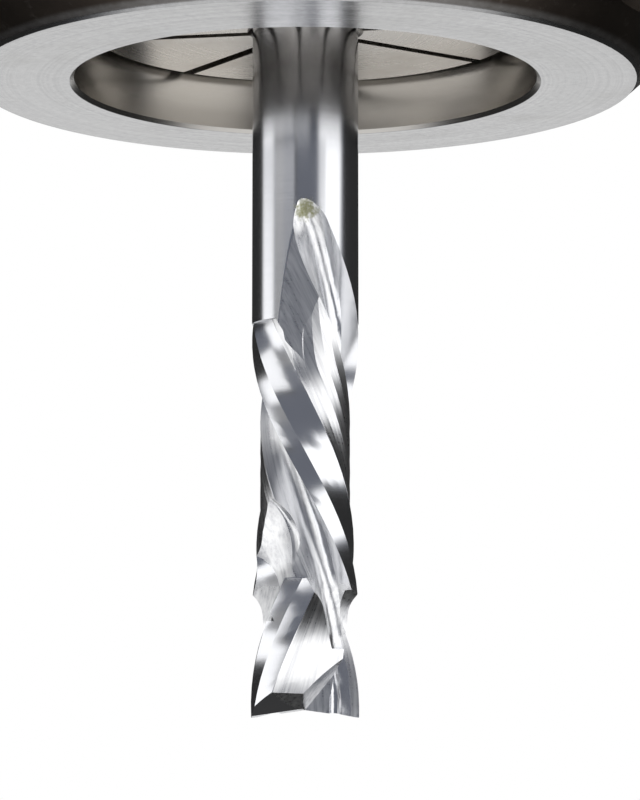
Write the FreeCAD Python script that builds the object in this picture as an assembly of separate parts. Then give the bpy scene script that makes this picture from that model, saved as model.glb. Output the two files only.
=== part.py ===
"""A two-flute compression end mill held in its slotted spring collet and clamping nut.

Units are millimetres.  +Z runs up the tool axis into the spindle.  The origin is on the axis, at the
gauge plane where the collet's 8 degree taper is widest, which is where the spindle's seat begins.
Angles are counted from +X, anticlockwise when seen from above.
"""
import FreeCAD
import Part
import math
import os

V = FreeCAD.Vector

# ---- driving dimensions -------------------------------------------------------------------------

# End mill
TOOL_R = 3.175              # quarter-inch shank and cutting diameter
TOOL_LENGTH = 63.5
STICK_OUT = 37.9            # tip to the nut's front face
TOOL_END_CHAMFER = 0.4
DOWN_RATE = 10.0            # degrees of turn per millimetre: a 29 degree helix
UP_RATE = 9.3               # a 27 degree helix
EDGE_STEP = 0.012           # the ground lands start this far inside the blank

# Down-cut teeth, the upper ones, with a left-hand helix.  Heights are above the tip.
DOWN_EDGE_Z = 23.3          # the top of the lands
DOWN_LAND_LOW_Z = 5.5
DOWN_EDGE_ANGLE = 170.5     # where the first cutting edge is at that height
DOWN_PRIMARY = (20.5, 3.12)     # end of the narrow land: angle behind the edge, radius
DOWN_HEEL = (57.5, 2.88)
DOWN_HOOK = 0.2             # tangent of the rake angle
DOWN_RUN_OUT_Z = 30.3       # where the gullet leaves the shank
DOWN_FULL_Z = 25.0          # below this the gullet has its full depth
DOWN_LIFT_ANGLE = -4.0       # the way the wheel lifts out, from the edge's radius
DOWN_DEPTH = 1.68
DOWN_RAKE_LOW_X = 2.15      # inner end of the rake face
DOWN_ROOT = (1.56, -0.16)   # middle of the rounded corner: along the edge's radius, ahead of it
DOWN_FLOOR = (1.50, -0.95)
DOWN_RIM = (2.2, -3.8)
DOWN_SPREAD = 0.15          # how much wider the groove gets as it runs out
DOWN_END_Z = 4.0
BACK_R = 2.66               # the shallow back of the flute
BACK_RISE = 0.42
BACK_NARROWING = 55.0       # degrees lost from its heel side where it runs out
BACK_GULLET_ANGLE = -35.0   # its other side, inside the gullet
BACK_TOP_Z = 24.8
BACK_FULL_Z = 20.3
BACK_END_Z = 8.0
FACET_ANGLE = 88.0          # the flat where the back pass runs out
FACET_TOP = (28.0, 3.08)    # height, distance from the axis
FACET_LOW = (20.2, 2.64)
FACET_WIDE_Z = 22.4         # below this it narrows from the heel side
FACET_TAPER = 8.0           # degrees for each millimetre

# Up-cut teeth, the lower ones, with a right-hand helix
UP_EDGE_ANGLE = 176.0       # where the first cutting edge meets the tip
UP_LAND_Z = 7.95
UP_PRIMARY = (17.5, 3.108)
UP_HEEL = (39.0, 2.85)
UP_HOOK_ANGLE = -14.0
UP_CORNER = (1.42, 0.32)    # where flank and rake face would meet, across from the edge
UP_FLANK_SIDE = (2.3, -1.55)
UP_GULLET_SIDE = (-50.0, -76.0)     # angle of the gullet's far side, low down and where it runs out
UP_SIDE_LOW_Z = 5.4         # it turns from one to the other between these heights
UP_SIDE_HIGH_Z = 8.4
UP_GULLET_R = 2.70
UP_FULL_Z = 4.0
UP_RUN_OUT_Z = 12.7
UP_FLANK_TOP_Z = 7.4

# Tip grinding
DISH = 0.45                 # how far the lips rise to the centre
END_LAND = 0.38
END_PRIMARY = 12.0
END_SECONDARY = 31.0
GASH_RUN = 0.82             # sideways for each millimetre up
GASH_WALL = 68.0            # angle between the gash's two walls

# Collet
COLLET_R = 16.5
COLLET_LENGTH = 40.0
COLLET_BORE_R = 3.195
BORE_CHAMFER = 0.3
REAR_TAPER = 8.0            # half angle
FRONT_TAPER = 30.0
COLLET_RECESS = 3.3         # its front face inside the nut's
LIP_R = 13.3
GROOVE_R = 12.4
GROOVE_LOW_Z = -7.5
GROOVE_HIGH_Z = -5.5
CONE_TOP_Z = -1.0
GRIP_TOP_Z = 14.5
REAR_BORE_R = 7.5
SLOT_COUNT = 8              # from each end
SLOT_WIDTH = 0.8
SLOT_ANGLE = 35.0
FRONT_SLOT_TOP_Z = 22.5
REAR_SLOT_LOW_Z = -1.5

# Nut
NUT_R = 25.0
NUT_LENGTH = 22.5
NUT_FACE_R = 20.0
NUT_BORE_R = 13.9
FACE_CHAMFER = 0.25
BEVEL_SLOPE = 0.9
CONE_GAP = 0.12
RIDGE_GAP = 0.4
RIDGE_R = 13.05             # the extraction ridge, which is off centre
RIDGE_OFFSET = 0.3
RIDGE_SOLID_R = 12.5
THREAD_PITCH = 1.5
THREAD_MAJOR_R = 20.0
THREAD_MINOR_R = 19.19
THREAD_LOW_Z = 1.8
SPANNER_SLOTS = 6
SPANNER_WIDTH = 6.2
SPANNER_FLOOR_R = 21.8
SPANNER_CORNER_R = 1.4
SPANNER_ANGLE = 30.0

NUT_FACE_Z = -12.8
TIP_Z = NUT_FACE_Z - STICK_OUT
OUTSIDE_R = 5.0             # cutting tools reach this far out of the blank
SECTION_STEP = 0.9          # height between a groove's sections
OVERRUN = 1.2               # how far a groove's tool goes on past its end
BELOW_TIP_Z = -2.0


# ---- helpers ------------------------------------------------------------------------------------

def polar(radius, degrees):
    """A point in a section, as (x, y)."""
    a = math.radians(degrees)
    return radius * math.cos(a), radius * math.sin(a)


def toward(start, end, share):
    """The point a share of the way from start to end."""
    return start[0] + (end[0] - start[0]) * share, start[1] + (end[1] - start[1]) * share


def placed(points, z, degrees):
    """Section points turned about the axis and set at height z."""
    c = math.cos(math.radians(degrees))
    s = math.sin(math.radians(degrees))
    return [V(x * c - y * s, x * s + y * c, z) for x, y in points]


def spaced(low, high, step):
    """Values from low to high, evenly spaced by about step."""
    n = max(2, int(round(abs(high - low) / step)))
    return [low + (high - low) * i / n for i in range(n + 1)]


def ring(points):
    """A closed wire of straight edges."""
    return Part.makePolygon(points + [points[0]])


def skin(wires):
    """A smooth solid through closed wires."""
    return Part.makeLoft(wires, True, False)


def both_sides(shape):
    """The shape and its copy half a turn round the axis."""
    other = shape.copy()
    other.rotate(V(0, 0, 0), V(0, 0, 1), 180)
    return [shape, other]


def down_edge(z):
    """Angle of the first down-cut edge at height z above the tip."""
    return DOWN_EDGE_ANGLE + DOWN_RATE * (DOWN_EDGE_Z - z)


def up_edge(z):
    """Angle of the first up-cut edge at height z above the tip."""
    return UP_EDGE_ANGLE + UP_RATE * z


def lift(z, full_z, end_z, depth):
    """How far the wheel has left the work at z, on its arc from full depth to nothing."""
    t = (z - full_z) / (end_z - full_z)
    return depth * max(0.0, t) ** 2.4


# ---- end mill -----------------------------------------------------------------------------------

def groove_wire(points, z, degrees):
    """A groove section: points 1 to 3 are joined by an arc, and the others by straight lines."""
    p = placed(points, z, degrees)
    edges = [Part.makeLine(p[0], p[1]), Part.Arc(p[1], p[2], p[3]).toShape()]
    edges += [Part.makeLine(p[i], p[i + 1]) for i in range(3, len(p) - 1)]
    edges.append(Part.makeLine(p[-1], p[0]))
    return Part.Wire(edges)


def down_gullet_section(z):
    """The deep groove in front of a down-cut edge: hooked rake face, rounded corner and flank."""
    rise = lift(z, DOWN_FULL_Z, DOWN_RUN_OUT_Z, DOWN_DEPTH)
    ux, uy = polar(1.0, DOWN_LIFT_ANGLE)
    spread = DOWN_SPREAD * rise
    rake = [(x, DOWN_HOOK * (TOOL_R - x)) for x in (OUTSIDE_R, DOWN_RAKE_LOW_X)]
    floor = (DOWN_FLOOR[0] + 0.1 * spread, DOWN_FLOOR[1] - spread)
    rim = (DOWN_RIM[0] + spread, DOWN_RIM[1] - spread)
    points = rake + [DOWN_ROOT, floor, rim, (OUTSIDE_R + 1.0, DOWN_RIM[1])]
    return [(x + ux * rise, y + uy * rise) for x, y in points]


def down_gullet():
    wires = []
    for z in spaced(DOWN_END_Z, DOWN_RUN_OUT_Z + OVERRUN, SECTION_STEP):
        wires.append(groove_wire(down_gullet_section(z), z, down_edge(z)))
    return skin(wires)


def land_relief(primary, heel, edge_angle, z_low, z_high):
    """The space outside a tooth's two ground lands."""
    edge = (TOOL_R - EDGE_STEP, 0.0)
    first = polar(primary[1], primary[0])
    last = polar(heel[1], heel[0])
    lead = toward(edge, first, -0.3)
    tail = toward(first, last, 1.25)
    outline = [lead, first, tail, polar(OUTSIDE_R, heel[0] + 10), polar(OUTSIDE_R + 1, heel[0] / 2),
               polar(OUTSIDE_R, -8)]
    return skin([ring(placed(outline, z, edge_angle(z))) for z in spaced(z_low, z_high, SECTION_STEP)])


def back_pass():
    """The shallow back of a down-cut flute, from the gullet to the heel behind it."""
    wires = []
    heel = DOWN_HEEL[0] - 181.0
    for z in spaced(BACK_END_Z, BACK_TOP_Z, 0.75):
        run_out = max(0.0, (z - BACK_FULL_Z) / (BACK_TOP_Z - BACK_FULL_Z))
        start = heel + BACK_NARROWING * run_out ** 1.3
        r = BACK_R + BACK_RISE * run_out ** 2
        inner = [polar(r, start + (BACK_GULLET_ANGLE - start) * i / 6) for i in range(7)]
        inner[0] = polar(DOWN_HEEL[1] + 0.02 + BACK_RISE * run_out, start)
        outline = inner + [polar(OUTSIDE_R, BACK_GULLET_ANGLE + 2.0), polar(OUTSIDE_R + 1.0, -60.0),
                           polar(OUTSIDE_R, start - 1.0)]
        wires.append(ring(placed(outline, z, down_edge(z))))
    return skin(wires)


def run_out_facet():
    """The flat that the back pass leaves where it runs out, inside the flute's own sector."""
    rise = FACET_TOP[0] - FACET_LOW[0]
    tilt = math.degrees(math.atan2(FACET_TOP[1] - FACET_LOW[1], rise))
    block = Part.makeBox(OUTSIDE_R, 2 * OUTSIDE_R, rise + OUTSIDE_R, V(0, -OUTSIDE_R, 0))
    block.rotate(V(0, 0, 0), V(0, 1, 0), tilt)
    block.translate(V(FACET_LOW[1], 0, FACET_LOW[0]))
    block.rotate(V(0, 0, 0), V(0, 0, 1), FACET_ANGLE)
    wires = []
    for z in spaced(FACET_LOW[0] - 1.0, FACET_TOP[0] + 4.0, SECTION_STEP):
        heel = DOWN_HEEL[0] - 181.5 + max(0.0, FACET_TAPER * (FACET_WIDE_Z - z))
        sector = [polar(0.6, -80.0), polar(OUTSIDE_R, heel), polar(OUTSIDE_R + 2.0, -80.0),
                  polar(OUTSIDE_R, -20.0)]
        wires.append(ring(placed(sector, z, down_edge(z))))
    return block.common(skin(wires))


def up_section(pivot, corner, wall, reach):
    """An up-cut groove section: a flat flank from its pivot to a rounded corner, and then its wall."""
    fx, fy = pivot[0] - corner[0], pivot[1] - corner[1]
    length = math.hypot(fx, fy)
    fx, fy = fx / length, fy / length
    wx, wy = polar(1.0, wall)
    flank_end = (corner[0] + reach * fx, corner[1] + reach * fy)
    wall_end = (corner[0] + reach * wx, corner[1] + reach * wy)
    middle = (corner[0] + 0.16 * reach * (fx + wx), corner[1] + 0.16 * reach * (fy + wy))
    outer = (corner[0] + 6.0 * wx, corner[1] + 6.0 * wy)
    far = (pivot[0] + fx, pivot[1] + fy)
    return [outer, wall_end, middle, flank_end, far, polar(9.0, -130.0), polar(9.0, -95.0)]


def up_gullet():
    """The up-cut gullet in front of an edge, which runs out high up in the down-cut flute."""
    wires = []
    for z in spaced(BELOW_TIP_Z, UP_RUN_OUT_Z, 0.8):
        t = max(0.0, (z - UP_FULL_Z) / (UP_RUN_OUT_Z - UP_FULL_Z))
        turn = min(1.0, max(0.0, (z - UP_SIDE_LOW_Z) / (UP_SIDE_HIGH_Z - UP_SIDE_LOW_Z)))
        side = UP_GULLET_SIDE[0] + (UP_GULLET_SIDE[1] - UP_GULLET_SIDE[0]) * turn
        pivot = polar(UP_GULLET_R, side)
        corner = toward(UP_CORNER, pivot, 0.93 * t ** 5)
        wall = UP_HOOK_ANGLE * (1.0 - t) - 10.0 * t
        wires.append(groove_wire(up_section(pivot, corner, wall, 0.75 - 0.6 * t ** 5), z, up_edge(z)))
    return skin(wires)


def up_flank():
    """The flat flank behind the up-cut gullet, which ends at the next tooth's heel."""
    pivot = polar(UP_HEEL[1] + 0.02, UP_HEEL[0] - 180.7)
    wires = []
    for z in spaced(BELOW_TIP_Z, UP_FLANK_TOP_Z, 0.6):
        t = max(0.0, z / UP_FLANK_TOP_Z)
        corner = toward(UP_FLANK_SIDE, pivot, 0.93 * t ** 2.6)
        section = up_section(pivot, corner, -3.0 - 24.0 * t ** 6, 0.3 - 0.2 * t)
        wires.append(groove_wire(section, z, up_edge(z)))
    return skin(wires)


def wedge(corner, first, second, along, back, ahead):
    """A prism with its long edge through corner, between the directions first and second."""
    base = corner - along * back
    face = Part.Face(ring([base, base + first, base + first + second, base + second]))
    return face.extrude(along * (back + ahead))


def end_grind():
    """The grinding at the tip of the first up-cut tooth: its gash and two end reliefs, lip along +X."""
    centre = V(0, 0, DISH)
    lip = V(TOOL_R, 0, -DISH).normalize()
    run = V(GASH_RUN, 0, 1).normalize()
    wall = V(math.cos(math.radians(180 + GASH_WALL)), math.sin(math.radians(180 + GASH_WALL)), 0)
    cuts = [wedge(centre, wall * 8, V(9, 0, 0), run, 5.0, 8.0)]
    for offset, angle in ((0.0, END_PRIMARY), (END_LAND, END_SECONDARY)):
        rise = V(0, math.cos(math.radians(angle)), math.sin(math.radians(angle)))
        start = centre + V(0, offset, offset * math.tan(math.radians(END_PRIMARY)))
        cuts.append(wedge(start, rise * 9, V(0, 0, -6), lip, 0.8, 5.0))
    for cut in cuts:
        cut.rotate(V(0, 0, 0), V(0, 0, 1), UP_EDGE_ANGLE)
    return cuts


def end_mill():
    """The cutter, tip down, from one carbide blank."""
    blank = Part.makeCylinder(TOOL_R, TOOL_LENGTH)
    top_edges = [e for e in blank.Edges if e.BoundBox.ZMin > TOOL_LENGTH - 0.1]
    blank = blank.makeChamfer(TOOL_END_CHAMFER, top_edges)
    cutters = both_sides(land_relief(DOWN_PRIMARY, DOWN_HEEL, down_edge, DOWN_LAND_LOW_Z, DOWN_EDGE_Z))
    cutters += both_sides(land_relief(UP_PRIMARY, UP_HEEL, up_edge, BELOW_TIP_Z, UP_LAND_Z))
    cutters += both_sides(up_flank())
    cutters += both_sides(up_gullet())
    cutters += both_sides(down_gullet())
    cutters += both_sides(back_pass())
    cutters += both_sides(run_out_facet())
    for cut in end_grind():
        cutters += both_sides(cut)
    for cutter in cutters:
        blank = blank.cut(cutter)
    blank.translate(V(0, 0, TIP_Z))
    return blank


# ---- collet and nut -----------------------------------------------------------------------------

def turned(outline):
    """A solid of revolution about Z from (radius, height) corners."""
    face = Part.Face(ring([V(r, 0, z) for r, z in outline]))
    return face.revolve(V(0, 0, 0), V(0, 0, 1), 360)


def collet():
    """The slotted 8 degree collet, with a 30 degree front cone and an extraction groove."""
    front = NUT_FACE_Z + COLLET_RECESS
    rear = front + COLLET_LENGTH
    rear_r = COLLET_R - rear * math.tan(math.radians(REAR_TAPER))
    body = turned([
        (COLLET_BORE_R + BORE_CHAMFER, front), (LIP_R - 0.3, front), (LIP_R, front + 0.3),
        (LIP_R, GROOVE_LOW_Z), (GROOVE_R, GROOVE_LOW_Z), (GROOVE_R, GROOVE_HIGH_Z),
        (cone_radius(GROOVE_HIGH_Z), GROOVE_HIGH_Z), (COLLET_R, CONE_TOP_Z), (COLLET_R, 0.0),
        (rear_r + 0.7 * math.tan(math.radians(REAR_TAPER)), rear - 0.7), (rear_r - 0.6, rear),
        (REAR_BORE_R + 0.5, rear), (REAR_BORE_R, rear - 0.5), (REAR_BORE_R, GRIP_TOP_Z + 3.0),
        (COLLET_BORE_R + 0.8, GRIP_TOP_Z), (COLLET_BORE_R, GRIP_TOP_Z),
        (COLLET_BORE_R, front + BORE_CHAMFER)])
    front_slot = Part.makeBox(COLLET_R + 5, SLOT_WIDTH, FRONT_SLOT_TOP_Z - front + 1,
                              V(0, -SLOT_WIDTH / 2, front - 1))
    rear_slot = Part.makeBox(COLLET_R + 5, SLOT_WIDTH, rear - REAR_SLOT_LOW_Z + 1,
                             V(0, -SLOT_WIDTH / 2, REAR_SLOT_LOW_Z))
    cuts = []
    for i in range(SLOT_COUNT):
        turn = SLOT_ANGLE + i * 360.0 / SLOT_COUNT
        one = front_slot.copy()
        one.rotate(V(0, 0, 0), V(0, 0, 1), turn)
        other = rear_slot.copy()
        other.rotate(V(0, 0, 0), V(0, 0, 1), turn + 180.0 / SLOT_COUNT)
        cuts += [one, other]
    return body.cut(cuts)


def cone_radius(z):
    """Radius of the collet's front cone."""
    return COLLET_R - (CONE_TOP_Z - z) * math.tan(math.radians(FRONT_TAPER))


def internal_thread(z_low, z_high):
    """The helical groove of a 60 degree internal thread."""
    half = THREAD_PITCH * 0.44
    crest = THREAD_MAJOR_R - half * math.sqrt(3.0)
    helix = Part.makeHelix(THREAD_PITCH, z_high - z_low, THREAD_MAJOR_R)
    helix.translate(V(0, 0, z_low))
    profile = ring([V(crest, 0, z_low - half), V(THREAD_MAJOR_R, 0, z_low - 0.06),
                    V(THREAD_MAJOR_R, 0, z_low + 0.06), V(crest, 0, z_low + half)])
    return Part.Wire(helix).makePipeShell([profile], True, True)


def nut():
    """The clamping nut: ground face, bevel, extraction ridge, front cone, thread and spanner slots."""
    low = NUT_FACE_Z
    high = low + NUT_LENGTH
    gap = CONE_GAP / math.cos(math.radians(FRONT_TAPER))
    ridge_low = GROOVE_LOW_Z + RIDGE_GAP
    ridge_high = GROOVE_HIGH_Z - RIDGE_GAP
    cavity_r = COLLET_R + 0.6
    cavity_z = CONE_TOP_Z + (cavity_r - COLLET_R - gap) / math.tan(math.radians(FRONT_TAPER))
    thread_entry = 0.9
    body = turned([
        (NUT_BORE_R, low + FACE_CHAMFER), (NUT_BORE_R + FACE_CHAMFER, low), (NUT_FACE_R - 0.15, low),
        (NUT_FACE_R, low + 0.15), (NUT_R, low + 0.15 + (NUT_R - NUT_FACE_R) * BEVEL_SLOPE),
        (NUT_R, high - 0.8), (NUT_R - 0.8, high),
        (THREAD_MAJOR_R + 0.3, high), (THREAD_MINOR_R, high - thread_entry),
        (THREAD_MINOR_R, THREAD_LOW_Z), (THREAD_MAJOR_R + 0.2, THREAD_LOW_Z - 0.5),
        (THREAD_MAJOR_R + 0.2, cavity_z + 0.6), (cavity_r, cavity_z + 0.6), (cavity_r, cavity_z),
        (cone_radius(GROOVE_HIGH_Z) + gap, GROOVE_HIGH_Z), (NUT_BORE_R - 0.2, ridge_high),
        (RIDGE_SOLID_R, ridge_high), (RIDGE_SOLID_R, ridge_low), (NUT_BORE_R, ridge_low)])
    eccentric = Part.makeCylinder(RIDGE_R, NUT_LENGTH, V(RIDGE_OFFSET, 0, low))
    body = body.cut(eccentric)
    body = body.cut(internal_thread(THREAD_LOW_Z - THREAD_PITCH, high + THREAD_PITCH))
    slot_low = low + 0.15 + (SPANNER_FLOOR_R - NUT_FACE_R) * BEVEL_SLOPE - 0.6
    cuts = []
    for i in range(SPANNER_SLOTS):
        block = Part.makeBox(10, SPANNER_WIDTH, 2 * NUT_LENGTH,
                             V(SPANNER_FLOOR_R, -SPANNER_WIDTH / 2, slot_low))
        corners = [e for e in block.Edges if abs(e.BoundBox.XMax - SPANNER_FLOOR_R) < 1e-6
                   and e.BoundBox.ZLength > NUT_LENGTH]
        block = block.makeFillet(SPANNER_CORNER_R, corners)
        block.rotate(V(0, 0, 0), V(0, 0, 1), SPANNER_ANGLE + i * 360.0 / SPANNER_SLOTS)
        cuts.append(block)
    return body.cut(cuts)


os.makedirs("parts", exist_ok=True)
for name, build in (("end_mill", end_mill), ("spring_collet", collet), ("clamping_nut", nut)):
    shape = build()
    print(name, shape.isValid(), len(shape.Solids), round(shape.Volume, 1))
    shape.exportStep("parts/" + name + ".step")
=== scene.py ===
"""The looks of the end mill in its spring collet and clamping nut: materials, studio and camera.

Lengths are metres in the part's own frame.  The materials work in millimetres, from each node's own
coordinates, so their marks stay with the part when a joint moves.
"""
import math

import bpy
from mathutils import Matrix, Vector

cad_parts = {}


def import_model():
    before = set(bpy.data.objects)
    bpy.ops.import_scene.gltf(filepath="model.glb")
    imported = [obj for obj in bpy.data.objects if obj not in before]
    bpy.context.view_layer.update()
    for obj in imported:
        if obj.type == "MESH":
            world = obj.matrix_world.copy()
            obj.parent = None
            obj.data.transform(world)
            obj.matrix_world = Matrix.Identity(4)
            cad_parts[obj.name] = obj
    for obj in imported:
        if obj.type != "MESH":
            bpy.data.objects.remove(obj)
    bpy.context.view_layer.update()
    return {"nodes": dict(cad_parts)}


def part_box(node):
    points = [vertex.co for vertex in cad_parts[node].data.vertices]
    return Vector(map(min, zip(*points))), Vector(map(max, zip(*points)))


MM = 0.001

# ---- the part's own sizes, in millimetres, for marks that follow its shape ---------------------------
SHANK_R = 3.175
FLUTES = 2
DOWN_TURN = -10.0           # degrees of turn per millimetre of height in the upper flutes
DOWN_EDGE_TOP = 23.3        # height above the tip where the upper cutting edges end
DOWN_EDGE_BEARING = 170.5   # bearing of the first one at that height
DOWN_START = DOWN_EDGE_BEARING - DOWN_TURN * DOWN_EDGE_TOP      # and carried down to the tip
DOWN_LAND_END = 57.5        # degrees from an upper cutting edge to its heel
UP_TURN = 9.3               # degrees of turn per millimetre of height in the lower flutes
UP_START = 176.0            # bearing of the first lower cutting edge at the tip
UP_LAND_END = 39.0          # degrees from a lower cutting edge to its heel
UP_TOP = 7.8                # height above the tip where the lower teeth give way to the upper ones
GROUND_TOP = 31.0           # a height just above the highest flute mark on the shank
RESIDUE = (0.05, -2.9, 29.7)    # middle of the smear, with its height above the tip
FACE_R = 20.0               # outer edge of the nut's ground front face
BORE_R = 13.9               # bore of the nut

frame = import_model()
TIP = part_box("end_mill")[0][2]
NUT_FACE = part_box("clamping_nut")[0][2]
COLLET_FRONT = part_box("spring_collet")[0][2]


# ---- node building -----------------------------------------------------------------------------------

class Graph:
    """A node tree under construction, with short calls for the nodes that the materials share."""

    def __init__(self, tree):
        self.tree = tree

    def node(self, kind, **values):
        """A new node.  Values name its settings, and its sockets by name with spaces as underscores."""
        made = self.tree.nodes.new(kind)
        for key, value in values.items():
            if hasattr(made, key):
                setattr(made, key, value)
            else:
                self.feed(made.inputs[key.replace("_", " ")], value)
        return made

    def feed(self, socket, value):
        """Links an output to a socket, or sets the socket to a plain value."""
        if isinstance(value, bpy.types.NodeSocket):
            self.tree.links.new(value, socket)
        else:
            socket.default_value = value

    def math(self, operation, a, b=0.0, c=0.0):
        made = self.node("ShaderNodeMath", operation=operation)
        for socket, value in zip(made.inputs, (a, b, c)):
            self.feed(socket, value)
        return made.outputs[0]

    def step(self, value, low, high):
        """0 where value is at low, 1 where it is at high, smoothly between."""
        made = self.node("ShaderNodeMapRange", interpolation_type="SMOOTHSTEP")
        for name, given in (("Value", value), ("From Min", low), ("From Max", high)):
            self.feed(made.inputs[name], given)
        return made.outputs[0]

    def band(self, value, low, high, soft):
        """1 where value is between low and high, 0 outside."""
        return self.math("MULTIPLY", self.step(value, low - soft, low + soft),
                         self.step(value, high + soft, high - soft))

    def span(self, value, low, high):
        """A value of 0 to 1 spread from low to high."""
        return self.math("MULTIPLY_ADD", value, high - low, low)

    def vector(self, x, y, z):
        made = self.node("ShaderNodeCombineXYZ")
        for socket, value in zip(made.inputs, (x, y, z)):
            self.feed(socket, value)
        return made.outputs[0]

    def noise(self, vector, scale, detail=2.0, roughness=0.5):
        made = self.node("ShaderNodeTexNoise", Vector=vector, Scale=scale, Detail=detail,
                         Roughness=roughness)
        return made.outputs["Fac"]

    def blend(self, data_type, socket_type, share, first, second):
        """A blend of two values of one type, all first where share is 0 and all second where it is 1."""
        made = self.node("ShaderNodeMix", data_type=data_type)
        self.feed(made.inputs["Factor"], share)
        for name, value in (("A", first), ("B", second)):
            socket = next(s for s in made.inputs if s.name == name and s.type == socket_type)
            self.feed(socket, value)
        return next(s for s in made.outputs if s.type == socket_type)

    def mix(self, share, first, second):
        """A blend of two colours."""
        return self.blend("RGBA", "RGBA", share, first, second)

    def mix_levels(self, share, first, second):
        """A blend of two plain values."""
        return self.blend("FLOAT", "VALUE", share, first, second)

    def bump(self, height, depth_mm, strength=1.0, normal=None):
        made = self.node("ShaderNodeBump", Strength=strength, Distance=depth_mm * MM, Height=height)
        if normal is not None:
            self.feed(made.inputs["Normal"], normal)
        return made.outputs[0]


def grey(level):
    return level, level, level, 1.0


def colour(red, green, blue):
    return red, green, blue, 1.0


class Metal(Graph):
    """A metal's node tree, with the part's coordinates in millimetres ready to use."""

    def __init__(self, name, base_z):
        self.material = bpy.data.materials.new(name)
        self.material.use_nodes = True
        super().__init__(self.material.node_tree)
        self.shader = self.tree.nodes["Principled BSDF"]
        self.shader.inputs["Metallic"].default_value = 1.0
        place = self.node("ShaderNodeTexCoord")
        scaled = self.node("ShaderNodeVectorMath", operation="SCALE", Scale=1.0 / MM)
        self.feed(scaled.inputs[0], place.outputs["Object"])
        self.place = scaled.outputs[0]
        parts = self.node("ShaderNodeSeparateXYZ", Vector=self.place)
        self.x, self.y, self.z = parts.outputs
        self.height = self.math("SUBTRACT", self.z, base_z / MM)
        self.radius = self.math("SQRT", self.math("ADD", self.math("MULTIPLY", self.x, self.x),
                                                  self.math("MULTIPLY", self.y, self.y)))

    def untwisted(self, degrees_per_mm, across, along):
        """Coordinates that turn with a helix, stretched so that a noise on them runs along it."""
        angle = self.math("MULTIPLY", self.height, math.radians(degrees_per_mm))
        turn = self.node("ShaderNodeVectorRotate", rotation_type="Z_AXIS", Vector=self.place)
        self.feed(turn.inputs["Angle"], self.math("MULTIPLY", angle, -1.0))
        parts = self.node("ShaderNodeSeparateXYZ", Vector=turn.outputs[0])
        return self.vector(self.math("MULTIPLY", parts.outputs[0], across),
                           self.math("MULTIPLY", parts.outputs[1], across),
                           self.math("MULTIPLY", self.height, along))

    def past_land(self, start, degrees_per_mm, land_end):
        """1 in the flutes of a two-flute helix, and 0 on the land behind each cutting edge."""
        bearing = self.math("MULTIPLY", self.math("ARCTAN2", self.y, self.x), math.degrees(1.0))
        edge = self.math("MULTIPLY_ADD", self.height, degrees_per_mm, start)
        behind = self.math("SUBTRACT", bearing, edge)
        whole_turns = 5.0 * 360.0       # keeps the angle above 0
        behind = self.math("MODULO", self.math("ADD", behind, whole_turns), 360.0 / FLUTES)
        return self.step(behind, land_end - 0.5, land_end + 0.5)

    def rings(self, across, height_share):
        """Coordinates whose noise makes concentric marks, with a slow change round the axis."""
        return self.vector(self.math("MULTIPLY", self.radius, across),
                           self.math("MULTIPLY", self.z, height_share),
                           self.math("MULTIPLY", self.x, 0.05))

    def finish(self, base, roughness, normal):
        self.feed(self.shader.inputs["Base Color"], base)
        self.feed(self.shader.inputs["Roughness"], roughness)
        self.feed(self.shader.inputs["Normal"], normal)
        return self.material


# ---- materials ---------------------------------------------------------------------------------------

def carbide():
    """Ground tungsten carbide: a cylindrically ground shank, and flutes with lines along their helix."""
    g = Metal("ground_carbide", TIP)
    upper = g.step(g.height, UP_TOP - 0.3, UP_TOP + 0.3)
    up_lines = g.noise(g.untwisted(UP_TURN, 1.0, 0.05), 3.6, 3.0, 0.62)
    down_lines = g.noise(g.untwisted(DOWN_TURN, 1.0, 0.04), 3.6, 3.0, 0.62)
    lines = g.mix_levels(upper, up_lines, down_lines)
    fine = g.noise(g.untwisted(DOWN_TURN, 1.0, 0.04), 13.0, 2.0, 0.6)
    cut = g.math("MULTIPLY", g.step(g.radius, SHANK_R - 0.012, SHANK_R - 0.04),
                 g.step(g.height, GROUND_TOP + 0.5, GROUND_TOP))
    down_flute = g.math("MULTIPLY", g.past_land(DOWN_START, DOWN_TURN, DOWN_LAND_END), upper)
    up_flute = g.math("MULTIPLY", g.past_land(UP_START, UP_TURN, UP_LAND_END),
                      g.math("SUBTRACT", 1.0, upper))
    deep = g.math("MULTIPLY", g.math("ADD", down_flute, up_flute), cut)
    rings = g.noise(g.vector(g.math("MULTIPLY", g.x, 0.12), g.math("MULTIPLY", g.y, 0.12),
                             g.math("MULTIPLY", g.height, 9.0)), 1.0, 4.0, 0.65)
    blotches = g.noise(g.place, 0.35, 3.0, 0.55)

    base = g.mix(g.span(blotches, 0.0, 0.7), colour(0.76, 0.765, 0.785), colour(0.66, 0.67, 0.70))
    lined = g.mix(g.step(lines, 0.30, 0.68), colour(0.58, 0.585, 0.60), colour(0.92, 0.92, 0.92))
    base = g.mix(g.math("MULTIPLY", deep, 0.85), base, lined)
    base = g.mix(residue(g), base, colour(0.30, 0.30, 0.10))

    roughness = g.math("ADD", 0.15, g.math("MULTIPLY", rings, 0.08))
    roughness = g.math("ADD", roughness, g.math("MULTIPLY", deep, g.span(lines, 0.02, 0.20)))
    roughness = g.math("ADD", roughness, g.math("MULTIPLY", residue(g), 0.45))
    normal = g.bump(rings, 0.0012, 0.35)
    normal = g.bump(g.math("MULTIPLY", lines, deep), 0.007, 0.7, normal)
    normal = g.bump(g.math("MULTIPLY", fine, deep), 0.002, 0.7, normal)
    return g.finish(base, roughness, normal)


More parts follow.
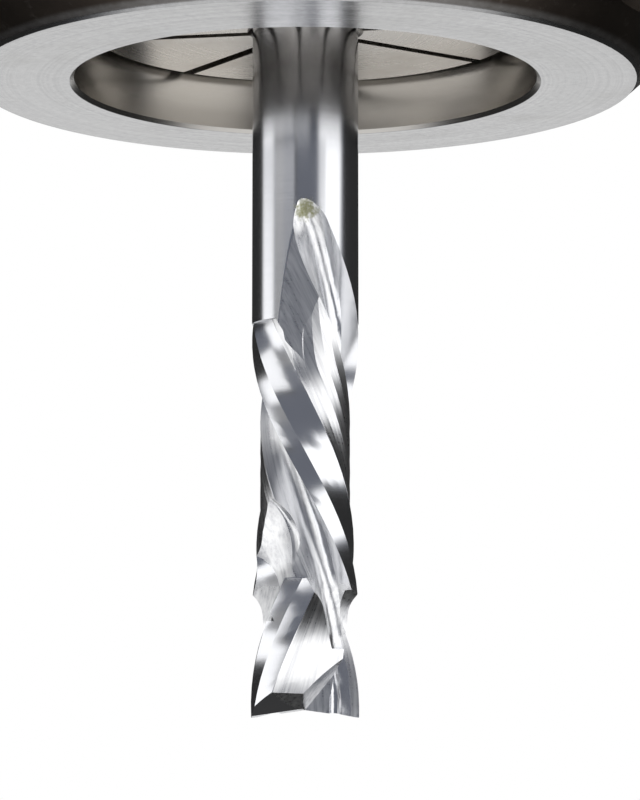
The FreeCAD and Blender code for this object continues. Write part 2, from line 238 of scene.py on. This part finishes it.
def residue(g):
    """A smear of dried cutting residue at the top of the first flute."""
    away = g.node("ShaderNodeVectorMath", operation="DISTANCE")
    g.feed(away.inputs[0], g.place)
    away.inputs[1].default_value = (RESIDUE[0], RESIDUE[1], TIP / MM + RESIDUE[2])
    ragged = g.math("MULTIPLY_ADD", g.noise(g.place, 3.2, 4.0, 0.7), 1.5, -0.75)
    edge = g.math("ADD", away.outputs["Value"], ragged)
    return g.math("MULTIPLY", g.step(edge, 0.85, 0.25), g.span(g.noise(g.place, 9.0, 3.0, 0.7), 0.35, 1.1))


def collet_steel():
    """Hardened steel, ground in fine rings, with faint brown blotches all over."""
    g = Metal("collet_steel", COLLET_FRONT)
    rings = g.noise(g.rings(5.0, 3.0), 1.0, 4.0, 0.6)
    blotches = g.noise(g.place, 0.22, 4.0, 0.6)
    base = g.mix(rings, colour(0.49, 0.465, 0.43), colour(0.63, 0.605, 0.57))
    base = g.mix(g.math("MULTIPLY", g.step(blotches, 0.52, 0.75), 0.6), base, colour(0.42, 0.38, 0.33))
    roughness = g.math("ADD", g.span(rings, 0.20, 0.32), g.span(blotches, -0.03, 0.08))
    normal = g.bump(rings, 0.004, 0.7)
    return g.finish(base, roughness, normal)


def nut_steel():
    """Black oxide outside, with the front face, its chamfer and the bore ground bright, and the bore painted
    lighter than the face as a painted reflection.
    """
    g = Metal("nut_steel", NUT_FACE)
    rings = g.noise(g.rings(6.0, 2.0), 1.0, 5.0, 0.62)
    wide_rings = g.noise(g.rings(1.1, 0.5), 1.0, 2.0, 0.5)
    blotches = g.noise(g.place, 0.16, 4.0, 0.6)
    grain = g.noise(g.place, 1.6, 5.0, 0.65)
    speckle = g.noise(g.place, 2.4, 5.0, 0.75)
    face = g.math("MULTIPLY", g.step(g.height, 0.3, 0.16), g.step(g.radius, FACE_R + 0.12, FACE_R - 0.02))
    inside = g.math("MULTIPLY", g.step(g.radius, BORE_R + 0.6, BORE_R + 0.3), g.step(g.height, 0.02, 0.05))
    bright = g.math("MAXIMUM", face, inside)

    marks = g.math("ADD", g.math("MULTIPLY", rings, 0.55), g.math("MULTIPLY", speckle, 0.45))
    ground = g.mix(g.step(marks, 0.30, 0.70), colour(0.37, 0.37, 0.375), colour(0.56, 0.56, 0.56))
    ground = g.mix(g.math("MULTIPLY", g.step(blotches, 0.50, 0.72), 0.35), ground, colour(0.32, 0.315, 0.30))
    # Painted reflection: the bore wall is the same ground steel as the face, painted lighter to stand in for
    # the bright collet face mirrored in it.
    ground = g.mix(inside, ground, g.mix(rings, colour(0.53, 0.51, 0.48), colour(0.67, 0.65, 0.62)))
    oxide = g.mix(blotches, colour(0.050, 0.040, 0.033), colour(0.17, 0.14, 0.115))
    oxide = g.mix(g.math("MULTIPLY", g.step(grain, 0.55, 0.80), 0.5), oxide, colour(0.30, 0.27, 0.24))
    rub = g.math("MULTIPLY", g.band(g.radius, FACE_R, FACE_R + 0.35, 0.15), g.span(grain, 0.2, 1.0))
    oxide = g.mix(rub, oxide, colour(0.42, 0.41, 0.40))
    base = g.mix(bright, oxide, ground)

    roughness = g.math("ADD", g.math("MULTIPLY", bright, g.span(rings, 0.16, 0.30)),
                       g.math("MULTIPLY", g.math("SUBTRACT", 1.0, bright), g.span(blotches, 0.30, 0.52)))
    roughness = g.math("ADD", roughness, g.span(wide_rings, -0.03, 0.05))
    normal = g.bump(g.math("MULTIPLY", rings, bright), 0.0035, 0.6)
    normal = g.bump(g.math("MULTIPLY", grain, g.math("SUBTRACT", 1.0, bright)), 0.012, 0.5, normal)
    return g.finish(base, roughness, normal)


def dress(node, material):
    """Gives a CAD node its material in every slot."""
    for slot in frame["nodes"][node].material_slots:
        slot.material = material


# ---- studio ------------------------------------------------------------------------------------------

CAMERA_DISTANCE = 0.190     # in front of the axis
CAMERA_DROP = 0.0069        # below the tip
CAMERA_SIDE = 0.00088       # right of the axis
CAMERA_TILT = 7.7           # degrees up
CAMERA_LENS = 145.35        # millimetres, for a sensor 36 mm high
FLOOR_DROP = 0.060          # floor below the tip
FLOOR_REACH = 1.5           # from the axis to each edge of the floor
OVERHEAD_PLACE = (0.0, 0.05, 0.55)
OVERHEAD_SIZE = (0.36, 0.36)
OVERHEAD_WATTS = 4.0

# The studio round the object, as soft panels.  Each has its bearing, in degrees from the camera's side
# with right positive, its height above level, in degrees, its brightness, and how soft its sides are.
# Later panels cover earlier ones.
PANEL_RISE_EDGE = 0.7       # how soft their upper and lower edges are
ROOM = (0.165, 0.175, 0.205)
DARK, MID, BRIGHT = 0.03, 0.95, 1.55
PANELS = [
    ("behind_left", (-190, -102), (-95, 30), DARK, 5),
    ("behind_right", (94, 190), (-95, 30), DARK, 4),
    ("backdrop_left", (-200, -166), (-32, 3), MID, 4),
    ("backdrop_right", (166, 200), (-32, 3), MID, 4),
    ("left_box", (-104, -72), (-24, 12.6), 1.45, 4),
    ("left_box_spill", (-70, -50), (-3, 12.6), 0.30, 8),
    ("low_left", (-96, -30), (-28, -12), 1.5, 5),
    ("front_sweep", (-38, 10), (-50, -12.5), BRIGHT, 5),
    ("lower_left_box", (-84, -30), (-12, -4), 1.5, 2),
    ("lower_left_flag", (-28, -19), (-13, -4), DARK, 2),
    ("under_front", (-100, 100), (-95, -50), 1.0, 6),
    ("high_left_box", (-74, -24), (13.4, 38), 1.35, 2),
    ("flag_edge", (-23, -18), (10, 38), DARK, 2),
    ("right_box", (31, 87), (-50, 12.2), 1.6, 5),
    ("high_right_box", (47, 90), (12.2, 48), 1.6, 3),
    ("under_left", (-200, -105), (-95, -45), 0.05, 6),
    ("under_right", (105, 200), (-95, -45), 0.05, 6),
    ("ceiling", (-200, 200), (55, 100), 0.7, 12)]


def world():
    """The studio as a world.  What the camera sees past the object is plain white."""
    made = bpy.data.worlds.new("studio")
    made.use_nodes = True
    bpy.context.scene.world = made
    g = Graph(made.node_tree)
    background = g.tree.nodes["Background"]
    place = g.node("ShaderNodeTexCoord")
    parts = g.node("ShaderNodeSeparateXYZ", Vector=place.outputs["Generated"])
    x, y, z = parts.outputs
    bearing = g.math("MULTIPLY", g.math("ARCTAN2", x, g.math("MULTIPLY", y, -1.0)), math.degrees(1.0))
    rise = g.math("MULTIPLY", g.math("ARCSINE", z), math.degrees(1.0))
    studio = colour(*ROOM)
    for name, sides, heights, level, soft in PANELS:
        inside = g.math("MULTIPLY", g.band(bearing, sides[0], sides[1], soft),
                        g.band(rise, heights[0], heights[1], PANEL_RISE_EDGE))
        studio = g.mix(inside, studio, grey(level))
        studio.node.label = name
    seen = g.node("ShaderNodeLightPath").outputs["Is Camera Ray"]
    g.feed(background.inputs["Color"], g.mix(seen, studio, grey(1.0)))


def area_light(name, place, aim, size, watts):
    light = bpy.data.lights.new(name, "AREA")
    light.shape = "RECTANGLE"
    light.size, light.size_y = size
    light.energy = watts
    made = bpy.data.objects.new(name, light)
    bpy.context.collection.objects.link(made)
    made.location = place
    made.rotation_euler = (Vector(aim) - Vector(place)).to_track_quat("-Z", "Y").to_euler()
    made.visible_camera = False


def floor():
    reach = FLOOR_REACH
    z = TIP - FLOOR_DROP
    corners = [(-reach, -reach, z), (reach, -reach, z), (reach, reach, z), (-reach, reach, z)]
    mesh = bpy.data.meshes.new("floor")
    mesh.from_pydata(corners, [], [(0, 1, 2, 3)])
    made = bpy.data.objects.new("floor", mesh)
    bpy.context.collection.objects.link(made)
    material = bpy.data.materials.new("pale_floor")
    material.use_nodes = True
    g = Graph(material.node_tree)
    shader = g.tree.nodes["Principled BSDF"]
    shader.inputs["Roughness"].default_value = 0.8
    place = g.node("ShaderNodeTexCoord").outputs["Object"]
    g.feed(shader.inputs["Base Color"], g.mix(g.noise(place, 6.0), grey(0.84), grey(0.88)))
    mesh.materials.append(material)
    made.visible_glossy = False


def camera():
    lens = bpy.data.cameras.new("camera")
    lens.sensor_fit = "VERTICAL"
    lens.sensor_height = 36.0
    lens.lens = CAMERA_LENS
    made = bpy.data.objects.new("camera", lens)
    bpy.context.collection.objects.link(made)
    made.location = (CAMERA_SIDE, -CAMERA_DISTANCE, TIP - CAMERA_DROP)
    made.rotation_euler = (math.radians(90.0 + CAMERA_TILT), 0.0, 0.0)
    bpy.context.scene.camera = made


dress("end_mill", carbide())
dress("spring_collet", collet_steel())
dress("clamping_nut", nut_steel())
world()
floor()
area_light("overhead", OVERHEAD_PLACE, (0.0, 0.0, TIP), OVERHEAD_SIZE, OVERHEAD_WATTS)
camera()
bpy.context.scene.view_settings.view_transform = "Standard"
